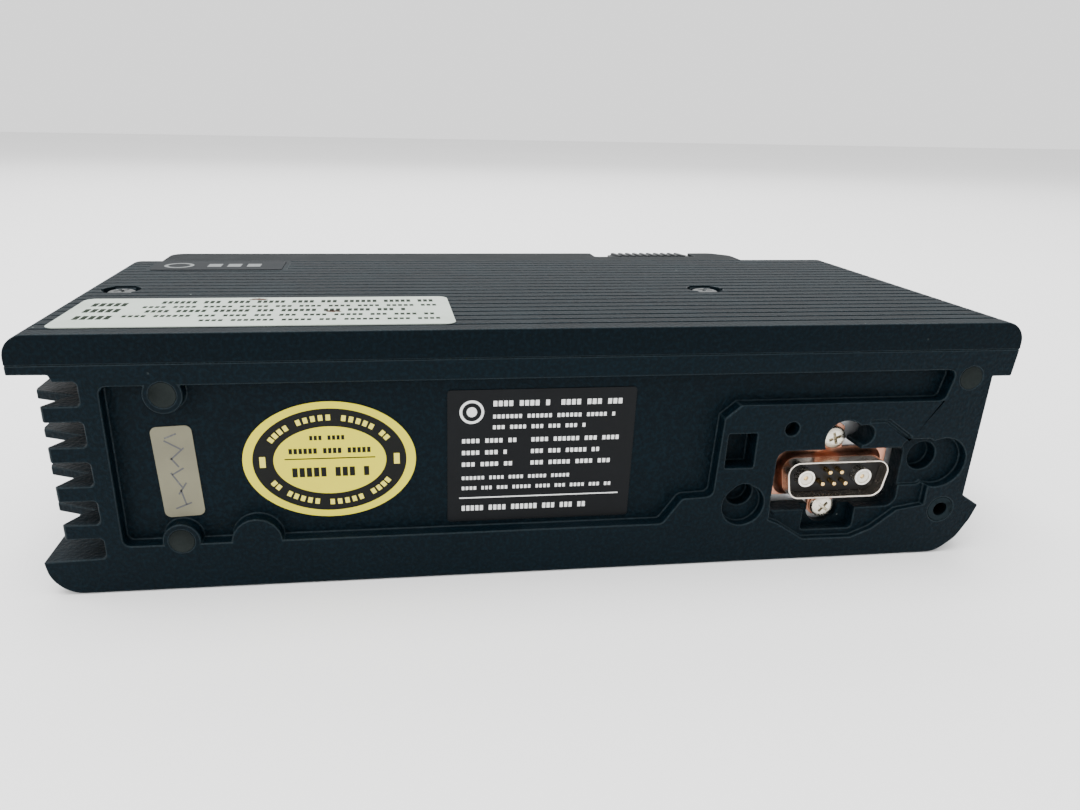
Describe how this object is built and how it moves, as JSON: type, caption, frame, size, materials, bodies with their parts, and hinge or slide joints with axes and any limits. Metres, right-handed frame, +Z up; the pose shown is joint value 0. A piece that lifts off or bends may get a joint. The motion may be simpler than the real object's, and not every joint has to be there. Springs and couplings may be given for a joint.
{
  "type": "mobile transceiver",
  "caption": "Flat die-cast mobile radio unit with a ribbed cover, a finned side, a floating blind-mate dock connector and a spring-loaded sliding lock.",
  "frame": {"origin": "middle of the footprint's bounding box, on the surface that the unit rests on", "axes": "+X along the long side towards the plain end, +Y from the dock face to the rear, +Z up"},
  "size_m": [0.21, 0.102, 0.056],
  "materials": {
    "cast_paint": "fine textured matt",
    "moulded_black": "matt",
    "slider_black": "satin",
    "seal_rubber": "matt",
    "plated_steel": "zinc plated",
    "zinc": "plated",
    "badge_grey": "printed",
    "white_label": "coated",
    "black_plate": "anodised and printed",
    "cream_sticker": "coated",
    "beige_sticker": "worn",
    "plug_grey": "matt",
    "copper_plate": "copper flash",
    "bright_shell": "tin plated",
    "black_insulator": "moulded",
    "gold_contact": "gold flash",
    "white_dielectric": "moulded",
    "green_board": "solder resist",
    "spring_steel": "drawn",
    "brass_fitting": "turned",
    "tinned_steel": "tinned",
    "grey_pad": "matt",
    "power_module": "moulded",
    "silvered_cast": "silver plated",
    "capacitor_sleeve": "shrunk sleeve",
    "ferrite": "sintered",
    "fuse_glass": "clear",
    "chip_black": "moulded",
    "header_white": "moulded",
    "ribbon": "film",
    "lead_jacket": "extruded"
  },
  "bodies": {
    "case": {"approval_sticker": "cream_sticker", "board_headers": "header_white", "board_link": "ribbon", "board_screws": "plated_steel", "board_spacers": "brass_fitting", "board_standoffs": "brass_fitting", "coax_leads": "lead_jacket", "cover_badge": "badge_grey", "cover_gasket": "seal_rubber", "cover_screws": "plated_steel", "crystals": "tinned_steel", "dock_bracket": "zinc", "dock_screws": "plated_steel", "duplexer_block": "silvered_cast", "duplexer_feet": "silvered_cast", "duplexer_lid": "silvered_cast", "duplexer_tuners": "brass_fitting", "filter_capacitors": "capacitor_sleeve", "fixing_plugs": "plug_grey", "handset_contacts": "gold_contact", "handset_insert": "black_insulator", "handset_socket": "zinc", "handset_socket_nut": "zinc", "inventory_sticker": "beige_sticker", "lock_spring": "spring_steel", "logic_board": "green_board", "logic_chips": "chip_black", "lower_housing": "cast_paint", "notice_label": "white_label", "power_module": "power_module", "power_module_screws": "plated_steel", "radio_board": "green_board", "rating_plate": "black_plate", "rear_block": "moulded_black", "shield_fence": "tinned_steel", "shield_lid": "tinned_steel", "supply_choke": "ferrite", "supply_fuse": "fuse_glass", "synthesizer_can": "tinned_steel", "thermal_pad": "grey_pad", "threaded_insert": "zinc", "top_cover": "cast_paint"},
    "lock": {"lock_slider": "slider_black"},
    "connector": {"dock_flange": "copper_plate", "dock_shell": "bright_shell", "dock_insulator": "black_insulator", "coax_sleeves": "gold_contact", "coax_dielectrics": "white_dielectric", "coax_centres": "gold_contact", "signal_pins": "gold_contact", "connector_board": "green_board"}
  },
  "joints": [
    {"name": "lock_slide", "type": "slide", "parent": "case", "child": "lock", "axis": [-1, 0, 0], "range_m": [0, 0.005], "stiffness_N_per_m": 300, "springref_m": -0.004, "deforming": ["lock_spring"]},
    {"name": "connector_float", "type": "slide", "parent": "case", "child": "connector", "axis": [1, 0, 0], "range_m": [-0.0005, 0.0005]}
  ]
}
